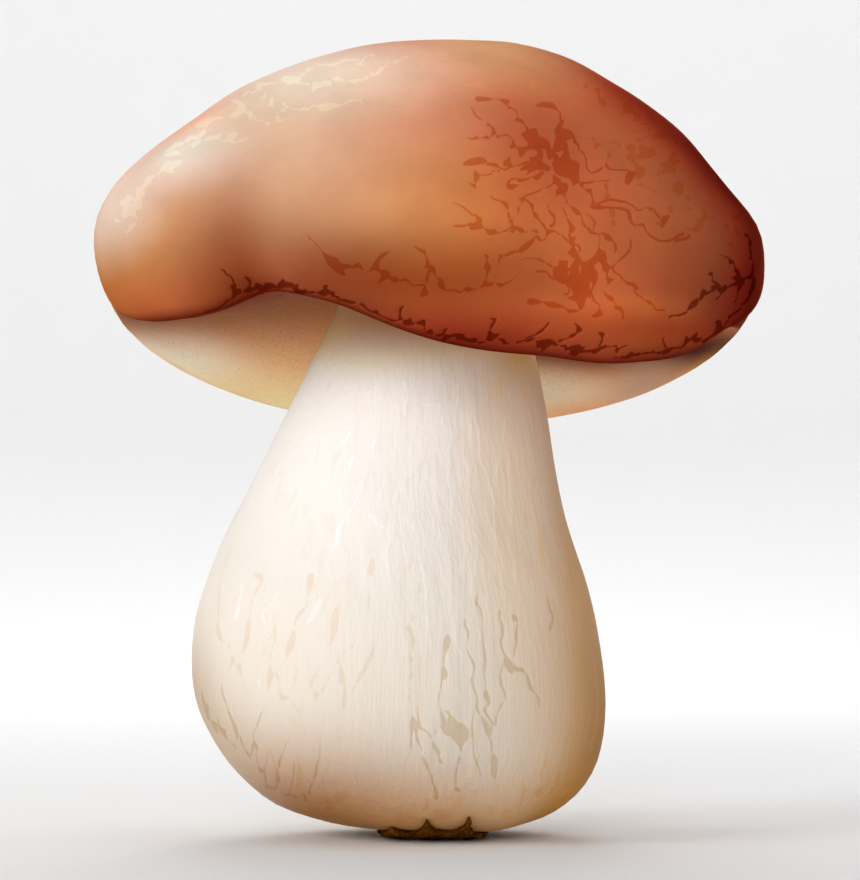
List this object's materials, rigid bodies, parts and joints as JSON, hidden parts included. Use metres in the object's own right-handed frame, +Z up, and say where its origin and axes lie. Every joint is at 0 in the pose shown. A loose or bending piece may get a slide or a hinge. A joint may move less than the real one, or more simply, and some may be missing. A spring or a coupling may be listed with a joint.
{
  "type": "king bolete mushroom",
  "caption": "Whole king bolete: a rounded brown cap with a wavy margin over a cream pore layer, on a thick pale bulbous stem with soil at its foot.",
  "frame": {"origin": "middle of the flat face under the foot, where the mushroom stands", "axes": "+Z up from the foot to the crown, -Y the front, where the margin lifts into a notch, and +X to the right as seen from the front"},
  "size_m": [0.1174, 0.1138, 0.1392],
  "materials": {
    "flesh": "satin",
    "soil": "rough"
  },
  "bodies": {
    "root": {"mushroom": "flesh", "soil_crust": "soil"}
  },
  "joints": []
}
